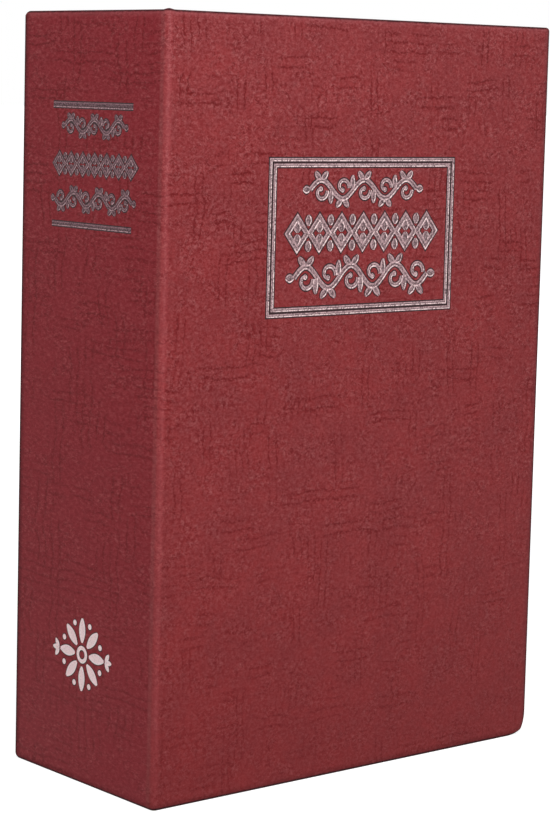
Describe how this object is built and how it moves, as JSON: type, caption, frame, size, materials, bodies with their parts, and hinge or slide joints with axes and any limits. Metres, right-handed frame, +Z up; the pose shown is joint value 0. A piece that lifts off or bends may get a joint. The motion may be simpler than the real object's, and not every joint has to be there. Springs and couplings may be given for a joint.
{
  "type": "book diversion safe",
  "caption": "Hollow book with a hard leatherette case and foil lines, round a small steel box with a hinged lid and a cam lock.",
  "frame": {"origin": "middle of the closed book's footprint, on the surface that it stands on", "axes": "+Z up along the book's height, +X from spine to fore-edge, +Y from front cover to back cover"},
  "size_m": [0.12, 0.0564, 0.18],
  "materials": {
    "leatherette": "wine red paper-backed leatherette with a fine pressed grain, satin, silver foil lines",
    "greyboard": "raw greyboard, hidden under the covering",
    "endpaper": "matt ivory endpaper",
    "page_plastic": "moulded ivory plastic with fine page lines",
    "black_steel": "fine black powder coat",
    "zinc_steel": "bright zinc plate",
    "nickel": "polished nickel plate"
  },
  "bodies": {
    "case": {"spine_board": "greyboard", "back_board": "greyboard", "case_covering": "leatherette", "crease_strip": "leatherette", "back_endpaper": "endpaper", "page_frame": "page_plastic", "box_pan": "black_steel", "box_rim": "black_steel", "strike_bracket": "zinc_steel", "hinge_box_leaf": "zinc_steel", "hinge_pin": "zinc_steel", "strike_rivet_1": "zinc_steel", "strike_rivet_2": "zinc_steel", "box_leaf_rivet_1": "zinc_steel", "box_leaf_rivet_2": "zinc_steel", "box_leaf_rivet_3": "zinc_steel", "box_screw_1": "zinc_steel", "box_screw_2": "zinc_steel", "box_screw_3": "zinc_steel", "box_screw_4": "zinc_steel", "key_1": "nickel", "key_2": "nickel"},
    "front_cover": {"front_board": "greyboard", "front_covering": "leatherette", "front_endpaper": "endpaper"},
    "lid": {"lid_panel": "black_steel", "hinge_lid_leaf": "zinc_steel", "lid_leaf_rivet_1": "zinc_steel", "lid_leaf_rivet_2": "zinc_steel", "lid_leaf_rivet_3": "zinc_steel", "lock_housing": "nickel", "lock_washer": "zinc_steel", "lock_nut": "nickel"},
    "lock_plug_and_cam": {"lock_plug": "nickel", "lock_cam": "zinc_steel", "cam_screw": "zinc_steel"}
  },
  "joints": [
    {"name": "cover_hinge", "type": "hinge", "parent": "case", "child": "front_cover", "pos_m": [-0.05953, -0.02778, 0.09], "axis": [0, 0, -1], "range_deg": [0, 180], "deforming": ["crease_strip"]},
    {"name": "lid_hinge", "type": "hinge", "parent": "case", "child": "lid", "pos_m": [-0.0447, -0.02205, 0.09], "axis": [0, 0, -1], "range_deg": [0, 108]},
    {"name": "lock_turn", "type": "hinge", "parent": "lid", "child": "lock_plug_and_cam", "pos_m": [0.033, -0.02165, 0.09], "axis": [0, -1, 0], "range_deg": [0, 90]}
  ],
  "couplings": [
    {"joint": "lid_hinge", "follows": "cover_hinge", "ratio": 0.6}
  ]
}
